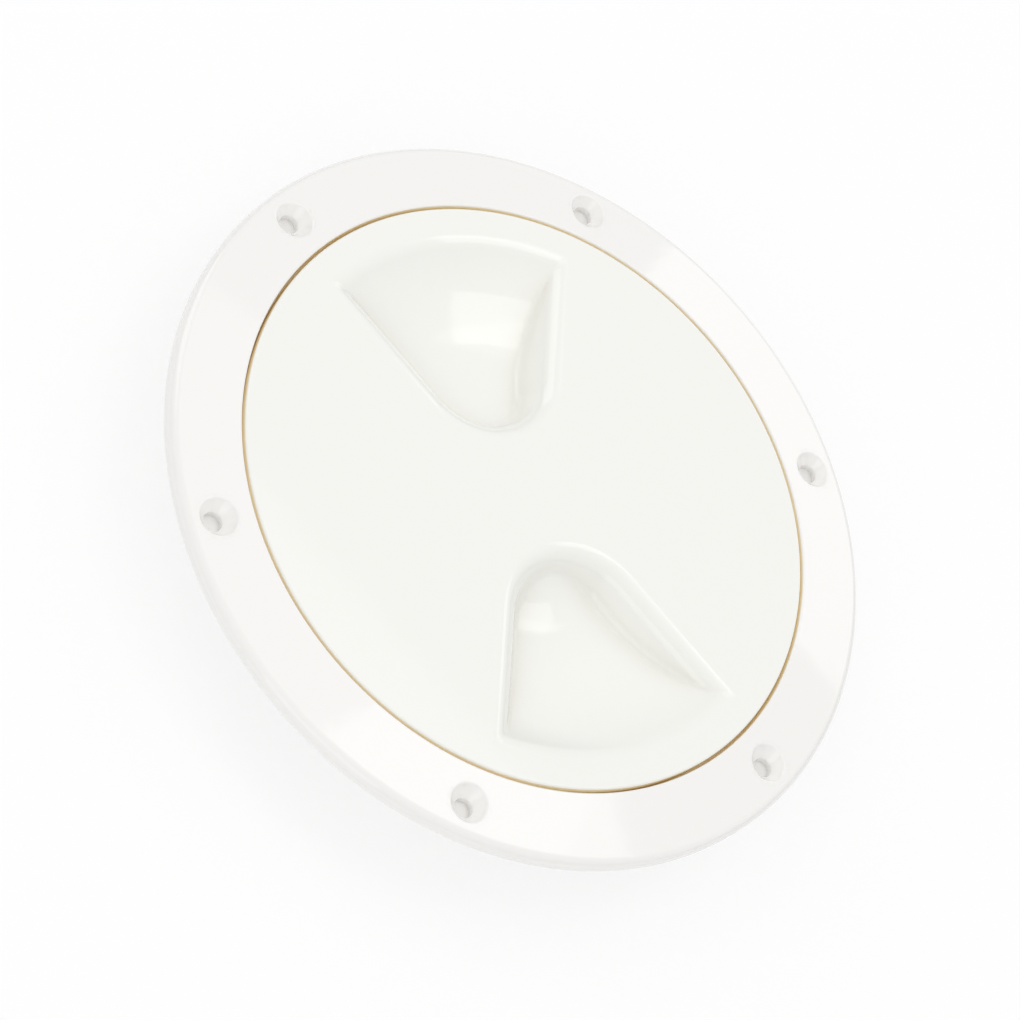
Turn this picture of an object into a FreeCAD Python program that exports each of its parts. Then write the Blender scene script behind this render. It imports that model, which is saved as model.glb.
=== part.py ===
import FreeCAD, Part
import math
import os

# Round screw-in access plate for a boat's deck, in millimetres.
# Z points up, out of the deck. Z = 0 is the face of the flange that lies on the deck, and the origin is
# the centre of that face. The X axis passes through one of the screw holes.

# Flange of the deck ring: its width is measured outwards from the mouth that the lid lies in
FLANGE_WIDTH = 18.7
FLANGE_TOP = 5.8
FLANGE_FALL_DEG = 4.5
FLANGE_EDGE_ROUNDING = 2.6
MOUTH_ROUNDING = 0.4
SCREW_EDGE_DISTANCE = 8.65
SCREW_COUNT = 6
SCREW_HOLE_RADIUS = 2.6
COUNTERSINK_RADIUS = 5.2
COUNTERSINK_HALF_ANGLE_DEG = 40.0

# Spigot and collar of the deck ring, below the flange
SPIGOT_WALL = 2.5
SPIGOT_DEPTH = 3.6
COLLAR_WALL = 3.2
COLLAR_DEPTH = 19.0
LEDGE_WIDTH = 3.7
LEDGE_CHAMFER = 0.5
COLLAR_ROUNDING = 0.8

# Lid
LID_RADIUS = 82.3
LID_GAP = 1.0
LID_SKIN = 2.8
LID_EDGE_ROUNDING = 0.5
NECK_CLEARANCE = 0.55
NECK_STEP_HEIGHT = 1.8
SKIRT_WALL = 2.6
SKIRT_ABOVE_COLLAR_END = 2.0

# Screw thread between the ring and the lid: one start, right-handed
THREAD_LEAD = 6.0
THREAD_TURNS = 1.75
THREAD_HEIGHT = 1.7
THREAD_BASE = 3.2
THREAD_CREST = 1.6
THREAD_CLEARANCE = 0.4
THREAD_SUNK = 0.3
RING_THREAD_TOP = -4.4
RING_THREAD_START_DEG = 40.0
THREAD_RUN_OUT_DEG = 12.0

# Seal
SEAL_CORD_RADIUS = 1.45
SEAL_CLEARANCE = 0.3

# Finger wells: a fan with its narrow end towards the lid's centre, opposite each other. The floor is a
# scoop turned about the lid's axis, with one curve up to the nose and a flatter one up to the lip.
WELL_ANGLES_DEG = (153.4, 333.4)
WELL_LIP_SETBACK = 7.3
WELL_HALF_ANGLE_DEG = 26.0
WELL_SIDE_OFFSET = 3.3
WELL_NOSE_RADIUS = 20.0
WELL_DEPTH = 9.6
WELL_WALL_DRAFT_DEG = 27.9
WELL_NOSE_SCOOP_RADIUS = 38.0
WELL_SCOOP_RADIUS = 69.0
WELL_LIP_ROUNDING = 10.0
WELL_LIP_SLOPE_DEG = 4.0
WELL_TOP_ROUNDING = 6.0
WELL_CREASE_AT_NOSE = 2.5
WELL_CREASE_AT_TIP = 0.6
WELL_SKIN = 2.6

# A cutting shape stands this far proud of the face that it opens.
CUT_PROUD = 0.5

# The sections of a well's walls and the core between them overlap by this much, and more.
CORE_OVERLAP = 3.0

# Sizes that follow from the ones above
flange_fall = math.tan(math.radians(FLANGE_FALL_DEG))
mouth_radius = LID_RADIUS + LID_GAP
flange_radius = mouth_radius + FLANGE_WIDTH
screw_circle_radius = flange_radius - SCREW_EDGE_DISTANCE
bore_radius = mouth_radius - LEDGE_WIDTH
lid_top = FLANGE_TOP
rim_underside = lid_top - LID_SKIN
ledge_height = rim_underside - 2 * SEAL_CLEARANCE - 2 * SEAL_CORD_RADIUS
neck_radius = bore_radius - NECK_CLEARANCE
skirt_radius = bore_radius - THREAD_HEIGHT - THREAD_CLEARANCE
skirt_bottom = SKIRT_ABOVE_COLLAR_END - COLLAR_DEPTH
ring_thread_bottom = RING_THREAD_TOP - THREAD_LEAD * THREAD_TURNS
thread_flank = (THREAD_BASE - THREAD_CREST) / 2 / THREAD_HEIGHT
seal_radius = neck_radius + SEAL_CLEARANCE + SEAL_CORD_RADIUS
seal_height = ledge_height + SEAL_CLEARANCE + SEAL_CORD_RADIUS
well_lip_radius = LID_RADIUS - WELL_LIP_SETBACK

tiny = 0.01
origin = FreeCAD.Vector(0, 0, 0)
up = FreeCAD.Vector(0, 0, 1)


def in_section(x, y):
    """Point of a section through the axis: x is the radius and y the height."""
    return FreeCAD.Vector(x, 0, y)


def rounded_wire(corners, place):
    """Closed wire through (x, y, rounding) corners, each replaced by its tangent arc."""
    joints = []
    for number, (x, y, rounding) in enumerate(corners):
        corner = FreeCAD.Vector(x, y, 0)
        if rounding == 0:
            joints.append((corner, None, corner))
            continue
        before = FreeCAD.Vector(*corners[number - 1][:2], 0)
        after = FreeCAD.Vector(*corners[(number + 1) % len(corners)][:2], 0)
        towards_before = (before - corner).normalize()
        towards_after = (after - corner).normalize()
        half_turn = towards_before.getAngle(towards_after) / 2
        reach = rounding / math.tan(half_turn)
        inwards = (towards_before + towards_after).normalize()
        middle = corner + inwards * (rounding / math.sin(half_turn) - rounding)
        joints.append((corner + towards_before * reach, middle, corner + towards_after * reach))
    edges = []
    for number, (start, middle, end) in enumerate(joints):
        if middle is not None:
            arc = Part.Arc(place(start.x, start.y), place(middle.x, middle.y), place(end.x, end.y))
            edges.append(arc.toShape())
        following = joints[(number + 1) % len(joints)][0]
        edges.append(Part.LineSegment(place(end.x, end.y), place(following.x, following.y)).toShape())
    return Part.Wire(edges)


def turned(corners):
    """Solid of revolution about the Z axis from the (radius, height, rounding) corners of its section."""
    return Part.Face(rounded_wire(corners, in_section)).revolve(origin, up, 360)


def thread_section(root, crest, half_base, half_crest):
    """Trapezoid section of a thread ridge, with its root sunk into the wall that carries it."""
    sunk_root = root - math.copysign(THREAD_SUNK, crest - root)
    corners = [
        in_section(sunk_root, -half_base),
        in_section(crest, -half_crest),
        in_section(crest, half_crest),
        in_section(sunk_root, half_base),
    ]
    return Part.makePolygon(corners + corners[:1])


def thread_ridge(root, crest, start_height, start_deg):
    """Helical ridge that climbs from its start, with a tapered run-out at each end."""
    section = thread_section(root, crest, THREAD_BASE / 2, THREAD_CREST / 2)
    helix = Part.makeHelix(THREAD_LEAD, THREAD_LEAD * THREAD_TURNS, root)
    ridge = Part.Wire(helix.Edges).makePipeShell([section], True, True)
    low_crest = root + math.copysign(THREAD_SUNK, crest - root)
    faded = thread_section(root, low_crest, THREAD_CREST / 2, THREAD_CREST / 4)
    for turn_deg, side in ((0, -1), (360 * THREAD_TURNS, 1)):
        sections = []
        for wire, beyond in ((section, 0), (faded, side * THREAD_RUN_OUT_DEG)):
            angle = turn_deg + beyond
            moved = wire.copy()
            moved.rotate(origin, up, angle)
            moved.translate(up * (THREAD_LEAD * angle / 360))
            sections.append(moved)
        ridge = ridge.fuse(Part.makeLoft(sections, True, True))
    ridge.rotate(origin, up, start_deg)
    ridge.translate(up * start_height)
    return ridge


def make_screw_hole():
    """Space of the countersunk screw hole that lies on the X axis."""
    face_height = FLANGE_TOP - flange_fall * (screw_circle_radius - mouth_radius)
    widening = math.tan(math.radians(COUNTERSINK_HALF_ANGLE_DEG))
    cone_depth = (COUNTERSINK_RADIUS - SCREW_HOLE_RADIUS) / widening
    hole = turned([
        (0, -CUT_PROUD, 0),
        (SCREW_HOLE_RADIUS, -CUT_PROUD, 0),
        (SCREW_HOLE_RADIUS, face_height - cone_depth, 0),
        (COUNTERSINK_RADIUS + CUT_PROUD * widening, face_height + CUT_PROUD, 0),
        (0, face_height + CUT_PROUD, 0),
    ])
    hole.translate(FreeCAD.Vector(screw_circle_radius, 0, 0))
    return hole


def make_deck_ring():
    """Flange with its stepped collar, sealing ledge, internal thread and screw holes."""
    collar_radius = bore_radius + COLLAR_WALL
    spigot_radius = mouth_radius + SPIGOT_WALL
    edge_height = FLANGE_TOP - flange_fall * (flange_radius - mouth_radius)
    ring = turned([
        (flange_radius, 0, 0),
        (flange_radius, edge_height, FLANGE_EDGE_ROUNDING),
        (mouth_radius, FLANGE_TOP, MOUTH_ROUNDING),
        (mouth_radius, ledge_height, 0),
        (bore_radius + LEDGE_CHAMFER, ledge_height, 0),
        (bore_radius, ledge_height - LEDGE_CHAMFER, 0),
        (bore_radius, -COLLAR_DEPTH, COLLAR_ROUNDING),
        (collar_radius, -COLLAR_DEPTH, COLLAR_ROUNDING),
        (collar_radius, -SPIGOT_DEPTH, 0),
        (spigot_radius, -SPIGOT_DEPTH, COLLAR_ROUNDING),
        (spigot_radius, 0, 0),
    ])
    thread = thread_ridge(
        bore_radius, bore_radius - THREAD_HEIGHT, ring_thread_bottom, RING_THREAD_START_DEG
    )
    ring = ring.fuse(thread)
    for number in range(SCREW_COUNT):
        hole = make_screw_hole()
        hole.rotate(origin, up, number * 360 / SCREW_COUNT)
        ring = ring.cut(hole)
    return ring


def well_walls(grow, top, bottom):
    """Tapered prism over the fan outline of a well, its sides moved outwards by grow."""
    half_angle = math.radians(WELL_HALF_ANGLE_DEG)
    draft = math.radians(WELL_WALL_DRAFT_DEG)
    outlines = []
    for height in (top, bottom):
        inset = (lid_top - height) * math.tan(draft) - grow / math.cos(draft)
        virtual_tip = -(WELL_SIDE_OFFSET - inset) / math.sin(half_angle)
        far = LID_RADIUS
        spread = (far - virtual_tip) * math.tan(half_angle)
        outlines.append(rounded_wire(
            [(virtual_tip, 0, WELL_NOSE_RADIUS - inset), (far, -spread, 0), (far, spread, 0)],
            lambda x, y: FreeCAD.Vector(x, y, height),
        ))
    return Part.makeLoft(outlines, True, True)


def rounded_well_walls(top, bottom):
    """Prism over the fan outline of a well whose walls bend over into the lid's top face."""
    half_angle = math.radians(WELL_HALF_ANGLE_DEG)
    draft = math.radians(WELL_WALL_DRAFT_DEG)
    first_slope = math.radians(WELL_LIP_SLOPE_DEG)
    last_slope = math.pi / 2 - draft
    nose_centre = FreeCAD.Vector((WELL_NOSE_RADIUS - WELL_SIDE_OFFSET) / math.sin(half_angle), 0, 0)
    centre_inset = -WELL_TOP_ROUNDING * math.tan(last_slope / 2)

    def section(inner, side):
        outwards = FreeCAD.Vector(-math.sin(half_angle), side * math.cos(half_angle), 0)

        def place(inset, height):
            return nose_centre + outwards * (WELL_NOSE_RADIUS - inset) + up * height

        def on_rounding(slope):
            return place(
                centre_inset + WELL_TOP_ROUNDING * math.sin(slope),
                lid_top - WELL_TOP_ROUNDING * (1 - math.cos(slope)),
            )

        start = on_rounding(first_slope)
        end = on_rounding(last_slope)
        rise = top - start.z
        above = start + outwards * (rise / math.tan(first_slope)) + up * rise
        foot = place((lid_top - bottom) * math.tan(draft), bottom)
        return Part.Face(Part.Wire([
            Part.LineSegment(place(inner, top), above).toShape(),
            Part.LineSegment(above, start).toShape(),
            Part.Arc(start, on_rounding((first_slope + last_slope) / 2), end).toShape(),
            Part.LineSegment(end, foot).toShape(),
            Part.LineSegment(foot, place(inner, bottom)).toShape(),
            Part.LineSegment(place(inner, bottom), place(inner, top)).toShape(),
        ]))

    nose = section(WELL_NOSE_RADIUS, 1).revolve(nose_centre, up, 180 - 2 * WELL_HALF_ANGLE_DEG)
    walls = well_walls(-CORE_OVERLAP, top, bottom).fuse(nose)
    for side in (1, -1):
        along = FreeCAD.Vector(math.cos(half_angle), side * math.sin(half_angle), 0)
        wall = section(WELL_NOSE_RADIUS - CORE_OVERLAP, side).extrude(along * LID_RADIUS)
        walls = walls.fuse(wall)
    return walls


def well_bowl(grow, top, soft_lip):
    """Turned space above the floor of a well: a scoop from its nose to the lip, which may be soft."""
    lip_slope = math.radians(WELL_LIP_SLOPE_DEG)
    level_floor = lid_top - WELL_DEPTH
    both = WELL_SCOOP_RADIUS + WELL_LIP_ROUNDING
    rise_to_lip = WELL_DEPTH + WELL_LIP_ROUNDING * (1 - math.cos(lip_slope))
    steepest = math.acos(1 - rise_to_lip / both)
    lip_centre_radius = well_lip_radius + WELL_LIP_ROUNDING * math.sin(lip_slope)
    foot = lip_centre_radius - both * math.sin(steepest)
    lip_centre_height = level_floor + WELL_SCOOP_RADIUS - both * math.cos(steepest)

    def place(x, y):
        return FreeCAD.Vector(-x, 0, y)

    def on_scoop(slope):
        radius = WELL_SCOOP_RADIUS + grow
        return place(
            foot + radius * math.sin(slope),
            level_floor + WELL_SCOOP_RADIUS - radius * math.cos(slope),
        )

    def on_lip(slope):
        return place(
            lip_centre_radius - WELL_LIP_ROUNDING * math.sin(slope),
            lip_centre_height + WELL_LIP_ROUNDING * math.cos(slope),
        )

    def on_nose_scoop(slope):
        radius = WELL_NOSE_SCOOP_RADIUS + grow
        return place(
            foot - radius * math.sin(slope),
            level_floor + WELL_NOSE_SCOOP_RADIUS - radius * math.cos(slope),
        )

    def slope_at_top(radius):
        return math.acos((level_floor + radius - top) / (radius + grow))

    nose_slope = slope_at_top(WELL_NOSE_SCOOP_RADIUS)
    nose_end = on_nose_scoop(nose_slope)
    if soft_lip:
        last_slope = steepest
        lip_end = on_lip(lip_slope)
        top_end = lip_end + place((top - lip_end.z) / math.tan(lip_slope), top - lip_end.z)
        lip = [
            Part.Arc(on_lip(steepest), on_lip((steepest + lip_slope) / 2), lip_end).toShape(),
            Part.LineSegment(lip_end, top_end).toShape(),
        ]
    else:
        last_slope = slope_at_top(WELL_SCOOP_RADIUS)
        top_end = on_scoop(last_slope)
        lip = []
    outline = [
        Part.Arc(nose_end, on_nose_scoop(nose_slope / 2), on_nose_scoop(0)).toShape(),
        Part.Arc(on_scoop(0), on_scoop(last_slope / 2), on_scoop(last_slope)).toShape(),
    ]
    outline += lip
    outline.append(Part.LineSegment(top_end, nose_end).toShape())
    return Part.Face(Part.Wire(outline)).revolve(origin, up, 360)


def crease_edges(shape, top):
    """Numbers of the sharp edges where the walls of a well meet its floor, and the edge at its nose."""
    creases = []
    nose = None
    for number, edge in enumerate(shape.Edges, start=1):
        middle = edge.valueAt((edge.FirstParameter + edge.LastParameter) / 2)
        faces = shape.ancestorsOfType(edge, Part.Face)
        normals = [face.normalAt(*face.Surface.parameter(middle)) for face in faces]
        is_sharp = normals[0].getAngle(normals[1]) > math.radians(WELL_WALL_DRAFT_DEG)
        if is_sharp and edge.BoundBox.ZMin < top - tiny:
            crosses_middle = edge.BoundBox.YMin < -tiny and edge.BoundBox.YMax > tiny
            if crosses_middle:
                nose = number
            else:
                creases.append(number)
    return nose, creases


def soften_creases(shape, top, at_nose, at_tip):
    """Fillet between the walls and the floor of a well, wide at the nose and fading up the ramp."""
    document = FreeCAD.newDocument("well")
    sharp = document.addObject("Part::Feature", "sharp")
    sharp.Shape = shape
    nose, creases = crease_edges(sharp.Shape, top)
    floor = sharp.Shape.BoundBox.ZMin

    def width(height):
        share = (height - floor) / (top - floor)
        return at_nose + (at_tip - at_nose) * share

    # The two widths of an edge count in the direction of the arc round the nose, from tip to tip.
    arc = sharp.Shape.Edges[nose - 1]
    climbs = arc.valueAt(arc.LastParameter).y > arc.valueAt(arc.FirstParameter).y
    level = [(nose, at_nose, at_nose)]
    fading = []
    for number in creases:
        edge = sharp.Shape.Edges[number - 1]
        low = width(edge.BoundBox.ZMin)
        high = width(edge.BoundBox.ZMax)
        before_nose = (edge.CenterOfMass.y < 0) == climbs
        if at_nose - high < tiny:
            level.append((number, at_nose, at_nose))
        else:
            fading.append((number, high, low) if before_nose else (number, low, high))
    soft = document.addObject("Part::Fillet", "soft")
    soft.Base = sharp
    soft.Edges = level + fading
    document.recompute()
    result = soft.Shape.copy()
    FreeCAD.closeDocument(document.Name)
    return result


def make_well(grow, top, soft_edges):
    """Inside of a finger well on the X axis, with its walls and floor moved outwards by grow."""
    below_floor = lid_top - 2 * WELL_DEPTH
    if soft_edges:
        walls = rounded_well_walls(top, below_floor)
    else:
        walls = well_walls(grow, top, below_floor)
    sharp = walls.common(well_bowl(grow, top, soft_edges))
    return soften_creases(sharp, top, WELL_CREASE_AT_NOSE + grow, WELL_CREASE_AT_TIP + grow)


def make_lid_disc():
    """Turned disc of the lid with its rim, neck and skirt."""
    skirt_inside = skirt_radius - SKIRT_WALL
    neck_bottom = ledge_height - NECK_STEP_HEIGHT
    return turned([
        (0, lid_top, 0),
        (LID_RADIUS, lid_top, LID_EDGE_ROUNDING),
        (LID_RADIUS, rim_underside, LID_EDGE_ROUNDING),
        (neck_radius, rim_underside, 0),
        (neck_radius, neck_bottom + NECK_STEP_HEIGHT / 2, 0),
        (skirt_radius, neck_bottom, 0),
        (skirt_radius, skirt_bottom, COLLAR_ROUNDING),
        (skirt_inside, skirt_bottom, COLLAR_ROUNDING),
        (skirt_inside, rim_underside, SKIRT_WALL / 2),
        (0, rim_underside, 0),
    ])


def make_screw_lid():
    """Flat disc with its skirt, external thread and two finger wells."""
    # The lid's ridge lies below the ring's ridge. In one section the two half widths always add up to
    # the same sum, and the thread clearance is kept square to the flanks.
    half_widths = THREAD_BASE - thread_flank * (THREAD_HEIGHT + THREAD_CLEARANCE)
    below_ring_ridge = half_widths + THREAD_CLEARANCE * math.hypot(1, thread_flank)
    half_a_turn = THREAD_LEAD / 2
    thread = thread_ridge(
        skirt_radius, skirt_radius + THREAD_HEIGHT,
        ring_thread_bottom - below_ring_ridge + half_a_turn, RING_THREAD_START_DEG + 180,
    )
    lid = make_lid_disc().fuse(thread)
    body = make_well(WELL_SKIN, lid_top - LID_SKIN / 2, False)
    space = make_well(0, lid_top + CUT_PROUD, True)
    for angle in WELL_ANGLES_DEG:
        placed = body.copy()
        placed.rotate(origin, up, angle)
        lid = lid.fuse(placed)
    for angle in WELL_ANGLES_DEG:
        placed = space.copy()
        placed.rotate(origin, up, angle)
        lid = lid.cut(placed)
    return lid


def make_o_ring():
    """Round seal cord under the lid's rim."""
    return Part.makeTorus(seal_radius, SEAL_CORD_RADIUS, FreeCAD.Vector(0, 0, seal_height), up)


os.makedirs("parts", exist_ok=True)
parts = {
    "deck_ring": make_deck_ring(),
    "screw_lid": make_screw_lid(),
    "o_ring": make_o_ring(),
}
for name, shape in parts.items():
    print(name, shape.ShapeType, len(shape.Solids), shape.isValid(), round(shape.Volume))
    shape.exportStep("parts/" + name + ".step")
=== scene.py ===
"""Looks of a round screw-in access plate for a boat's deck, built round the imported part."""

import logging
import math
from dataclasses import dataclass, field
from enum import Enum
from typing import Callable, Iterable, Sequence

import bpy
import numpy as np
from mathutils import Matrix, Vector
from mathutils.geometry import delaunay_2d_cdt


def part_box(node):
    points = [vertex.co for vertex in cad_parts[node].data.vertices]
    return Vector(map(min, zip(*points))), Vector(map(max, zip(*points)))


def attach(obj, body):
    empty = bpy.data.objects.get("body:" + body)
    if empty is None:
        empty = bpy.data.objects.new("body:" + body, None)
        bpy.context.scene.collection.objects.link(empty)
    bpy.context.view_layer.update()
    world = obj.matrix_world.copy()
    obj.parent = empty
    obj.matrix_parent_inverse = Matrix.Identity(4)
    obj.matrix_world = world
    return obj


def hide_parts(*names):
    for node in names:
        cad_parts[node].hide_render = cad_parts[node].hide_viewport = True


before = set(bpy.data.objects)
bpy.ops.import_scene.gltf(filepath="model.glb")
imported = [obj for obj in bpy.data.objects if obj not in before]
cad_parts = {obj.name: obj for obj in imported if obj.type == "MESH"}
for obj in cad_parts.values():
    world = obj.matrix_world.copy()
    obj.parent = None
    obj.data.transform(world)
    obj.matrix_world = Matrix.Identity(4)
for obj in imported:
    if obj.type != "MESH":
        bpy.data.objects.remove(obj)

logging.basicConfig(level=logging.INFO, format="%(message)s")
LOG = logging.getLogger("access_plate")

MM = 0.001
MERGE_DISTANCE = 1e-7
TURN_STEPS = 360

Array = np.ndarray
Corner = tuple[float, float, float]


class Side(Enum):
    """Which way a strip of a turned profile is looked at."""

    OUTER = 1
    INNER = -1


# Meshes


@dataclass
class Skin:
    """Mesh gathered from grids of points that carry their own normals."""

    points: list[Array] = field(default_factory=list)
    normals: list[Array] = field(default_factory=list)
    triangles: list[Array] = field(default_factory=list)
    count: int = 0

    def add(self, points: Array, normals: Array, triangles: Array) -> None:
        """Adds triangles over points.

        Args:
            points: Places, one row each, in metres.
            normals: Unit normals, one row for each point.
            triangles: Rows of three indices into the points.
        """
        self.points.append(points)
        self.normals.append(normals)
        self.triangles.append(triangles + self.count)
        self.count += len(points)

    def add_grid(self, points: Array, normals: Array) -> None:
        """Adds a grid of rows and columns of points.

        Args:
            points: Places with shape (rows, columns, 3).
            normals: Unit normals of the same shape.
        """
        rows, columns = points.shape[:2]
        index = np.arange(rows * columns).reshape(rows, columns)
        low, right = index[:-1, :-1].ravel(), index[:-1, 1:].ravel()
        above, across = index[1:, :-1].ravel(), index[1:, 1:].ravel()
        triangles = np.vstack([np.c_[low, right, across], np.c_[low, across, above]])
        self.add(points.reshape(-1, 3), normals.reshape(-1, 3), triangles)

    def build(self, name: str) -> bpy.types.Object:
        """Makes the mesh object: shared points are merged and faces turned to their normals.

        Args:
            name: Name of the piece.

        Returns:
            The new object, linked to the scene.
        """
        points = np.vstack(self.points)
        normals = np.vstack(self.normals)
        triangles = np.vstack(self.triangles)
        keys = np.round(points / MERGE_DISTANCE).astype(np.int64)
        _, first, merged = np.unique(keys, axis=0, return_index=True, return_inverse=True)
        corners = merged.ravel()[triangles]
        real = (
            (corners[:, 0] != corners[:, 1])
            & (corners[:, 1] != corners[:, 2])
            & (corners[:, 2] != corners[:, 0])
        )
        triangles, corners = triangles[real], corners[real]
        places = points[first]
        a, b, c = (places[corners[:, k]] for k in range(3))
        facing = np.einsum("ij,ij->i", np.cross(b - a, c - a), normals[triangles].sum(axis=1))
        wrong = facing < 0
        corners[wrong] = corners[wrong][:, ::-1]
        triangles[wrong] = triangles[wrong][:, ::-1]
        mesh = bpy.data.meshes.new(name)
        mesh.from_pydata(places.tolist(), [], corners.tolist())
        mesh.shade_smooth()
        mesh.normals_split_custom_set(normals[triangles.ravel()].tolist())
        piece = bpy.data.objects.new(name, mesh)
        bpy.context.scene.collection.objects.link(piece)
        return piece


def unit(vectors: Array) -> Array:
    """Returns the vectors in the last axis at length 1."""
    return vectors / np.linalg.norm(vectors, axis=-1, keepdims=True)


def circle(count: int = TURN_STEPS) -> Array:
    """Returns the angles of a full turn, with the first one repeated at the end."""
    return np.linspace(0.0, 2 * math.pi, count + 1)


def rounded_strips(corners: Sequence[Corner], arc_steps: int) -> list[tuple[Array, Array]]:
    """Splits an open profile with rounded corners into smooth strips.

    Args:
        corners: (radius, height, rounding) corners in the order of the outline.
        arc_steps: Number of steps of a quarter turn of a rounding.

    Returns:
        For each straight run or arc its points and its normals, to the left of the outline.
    """
    places = [np.array(corner[:2]) for corner in corners]
    strips: list[tuple[Array, Array]] = []
    start = places[0]
    for number in range(1, len(corners)):
        before = unit(places[number] - places[number - 1])
        left = np.array([-before[1], before[0]])
        rounding = corners[number][2]
        if number == len(corners) - 1 or rounding == 0:
            strips.append((np.array([start, places[number]]), np.array([left, left])))
            start = places[number]
            continue
        after = unit(places[number + 1] - places[number])
        turn = math.atan2(before[0] * after[1] - before[1] * after[0], float(before @ after))
        reach = rounding * math.tan(abs(turn) / 2)
        arc_start = places[number] - before * reach
        strips.append((np.array([start, arc_start]), np.array([left, left])))
        bends = math.copysign(1.0, turn)
        centre = arc_start + left * rounding * bends
        steps = max(2, round(arc_steps * abs(turn) / (math.pi / 2)))
        angles = np.linspace(0.0, turn, steps + 1)
        turned_left = np.c_[
            left[0] * np.cos(angles) - left[1] * np.sin(angles),
            left[0] * np.sin(angles) + left[1] * np.cos(angles),
        ]
        arc = centre - turned_left * rounding * bends
        strips.append((arc, turned_left))
        start = arc[-1]
    return strips


def add_turned(skin: Skin, corners: Sequence[Corner], side: Side, arc_steps: int = 8) -> None:
    """Turns an open profile about the Z axis.

    Args:
        skin: Mesh that takes the strips.
        corners: (radius, height, rounding) corners in metres.
        side: Whether the surface looks to the left or to the right of the outline.
        arc_steps: Number of steps of a quarter turn of a rounding.
    """
    angles = circle()
    for line, left in rounded_strips(corners, arc_steps):
        facing = left * side.value
        points = np.stack([
            line[:, None, 0] * np.cos(angles),
            line[:, None, 0] * np.sin(angles),
            np.broadcast_to(line[:, None, 1], (len(line), len(angles))),
        ], axis=-1)
        normals = np.stack([
            facing[:, None, 0] * np.cos(angles),
            facing[:, None, 0] * np.sin(angles),
            np.broadcast_to(facing[:, None, 1], (len(line), len(angles))),
        ], axis=-1)
        skin.add_grid(points, normals)


def add_filled(
    skin: Skin,
    loops: Sequence[Array],
    keep: Callable[[Array], Array],
    lift: Callable[[Array], tuple[Array, Array]],
) -> None:
    """Fills the area between loops with triangles.

    Args:
        skin: Mesh that takes the triangles.
        loops: Closed outlines, each an array of (x, y) rows without a repeated point.
        keep: Tells for rows of (x, y) whether they belong to the area.
        lift: Returns the points and normals of the surface over rows of (x, y).
    """
    flat = np.vstack(loops)
    edges: list[tuple[int, int]] = []
    start = 0
    for loop in loops:
        count = len(loop)
        edges += [(start + k, start + (k + 1) % count) for k in range(count)]
        start += count
    found = delaunay_2d_cdt([Vector(p) for p in flat.tolist()], edges, [], 0, 1e-9)
    places = np.array([list(p) for p in found[0]])
    source = [origin[0] if origin else -1 for origin in found[3]]
    for number, origin in enumerate(source):
        if origin >= 0:
            places[number] = flat[origin]
    triangles = np.array(found[2])
    middles = places[triangles].mean(axis=1)
    triangles = triangles[keep(middles)]
    points, normals = lift(places)
    skin.add(points, normals, triangles)


def turned_about_z(points: Array, angle: float) -> Array:
    """Returns rows of (x, y, z) or (x, y), turned about the Z axis by an angle in radians."""
    turned = points.copy()
    turned[..., 0] = points[..., 0] * math.cos(angle) - points[..., 1] * math.sin(angle)
    turned[..., 1] = points[..., 0] * math.sin(angle) + points[..., 1] * math.cos(angle)
    return turned


@dataclass(frozen=True)
class ScrewThread:
    """One-start right-handed thread ridge with a tapered run-out at each end."""

    root: float
    height: float
    start_height: float
    start_angle: float
    lead: float = 6.0 * MM
    turns: float = 1.75
    base: float = 3.2 * MM
    crest: float = 1.6 * MM
    sunk: float = 0.3 * MM
    run_out: float = math.radians(12)
    steps_a_turn: int = 120

    def add_to(self, skin: Skin) -> None:
        """Adds the ridge; a height below zero makes it grow inwards.

        Args:
            skin: Mesh that takes the ridge.
        """
        main = np.linspace(0, 2 * math.pi * self.turns, round(self.turns * self.steps_a_turn))
        angles = np.concatenate([[-self.run_out], main, [main[-1] + self.run_out]])
        share = np.ones(len(angles))
        share[[0, -1]] = 0.0
        way = math.copysign(1.0, self.height)
        low_crest = self.sunk * way
        crest_height = low_crest + (self.height - low_crest) * share
        half_base = (self.crest + (self.base - self.crest) * share) / 2
        half_crest = (self.crest / 2 + self.crest / 2 * share) / 2
        middle = self.start_height + self.lead * angles / (2 * math.pi)
        turned = angles + self.start_angle
        sunk_root = np.full(len(angles), self.root - self.sunk * way)
        outline = [
            (sunk_root, middle - half_base),
            (self.root + crest_height, middle - half_crest),
            (self.root + crest_height, middle + half_crest),
            (sunk_root, middle + half_base),
        ]
        lines = [
            np.stack([radius * np.cos(turned), radius * np.sin(turned), height], axis=-1)
            for radius, height in outline
        ]
        slope = (self.base - self.crest) / 2 / (abs(self.height) + self.sunk)
        radial = np.stack([np.cos(turned) * way, np.sin(turned) * way, 0 * turned], axis=-1)
        upright = np.array([0.0, 0.0, 1.0])
        for low, high, facing in (
            (0, 1, radial * slope - upright),
            (1, 2, radial),
            (2, 3, radial * slope + upright),
        ):
            normals = unit(np.broadcast_to(facing, radial.shape))
            skin.add_grid(np.stack([lines[low], lines[high]]), np.stack([normals, normals]))


# Finger wells

# Distances in millimetres of the rows of points from a well's outline, close where the surface bends.
TOP_ROWS = np.concatenate([
    [-4.6], np.arange(-3.9, 0.45, 0.15), np.arange(0.5, 2.1, 0.05), np.arange(2.1, 8.7, 0.22),
    [9, 10, 12, 14, 16, 18, 20],
])
UNDER_ROWS = np.concatenate([[-1.0], np.arange(0.2, 2.6, 0.3), np.arange(2.6, 10.6, 0.6), [12, 14, 17]])


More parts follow.
